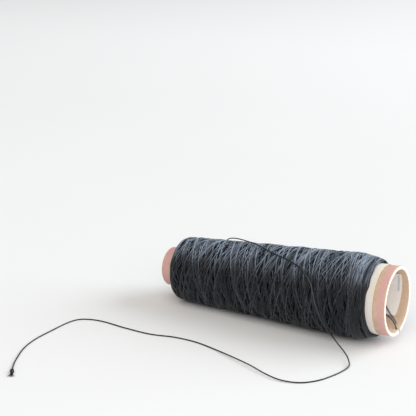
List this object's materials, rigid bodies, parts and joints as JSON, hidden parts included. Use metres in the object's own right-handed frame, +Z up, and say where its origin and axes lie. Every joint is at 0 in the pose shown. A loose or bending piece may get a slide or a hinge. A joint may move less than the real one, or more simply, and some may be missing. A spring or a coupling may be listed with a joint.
{
  "type": "spool of thread",
  "caption": "Cross-wound thread on a tapered paper tube, lying on its side, with its loose end laid out to a knot.",
  "frame": {"origin": "middle of the spool's underside, on the surface it lies on (without the loose thread)", "axes": "+X along the spool towards the tube's large end, +Y sideways away from the loose thread, +Z up"},
  "size_m": [0.2003, 0.1939, 0.0546],
  "materials": {
    "board": "matte pale paperboard",
    "kraft_paper": "matte tan kraft paper with soft printed pink rings",
    "white_paper": "matte white paper",
    "label_paper": "matte white label with a pale blue printed row of bars",
    "thread": "dark blue-grey twisted thread with a soft sheen"
  },
  "bodies": {
    "root": {"core_board": "board", "outer_liner": "kraft_paper", "inner_liner": "kraft_paper", "white_sleeve": "white_paper", "inner_label": "label_paper", "thread_package": "thread", "starting_tail": "thread", "loose_tail": "thread", "tail_knot": "thread", "frayed_end": "thread"}
  },
  "joints": []
}
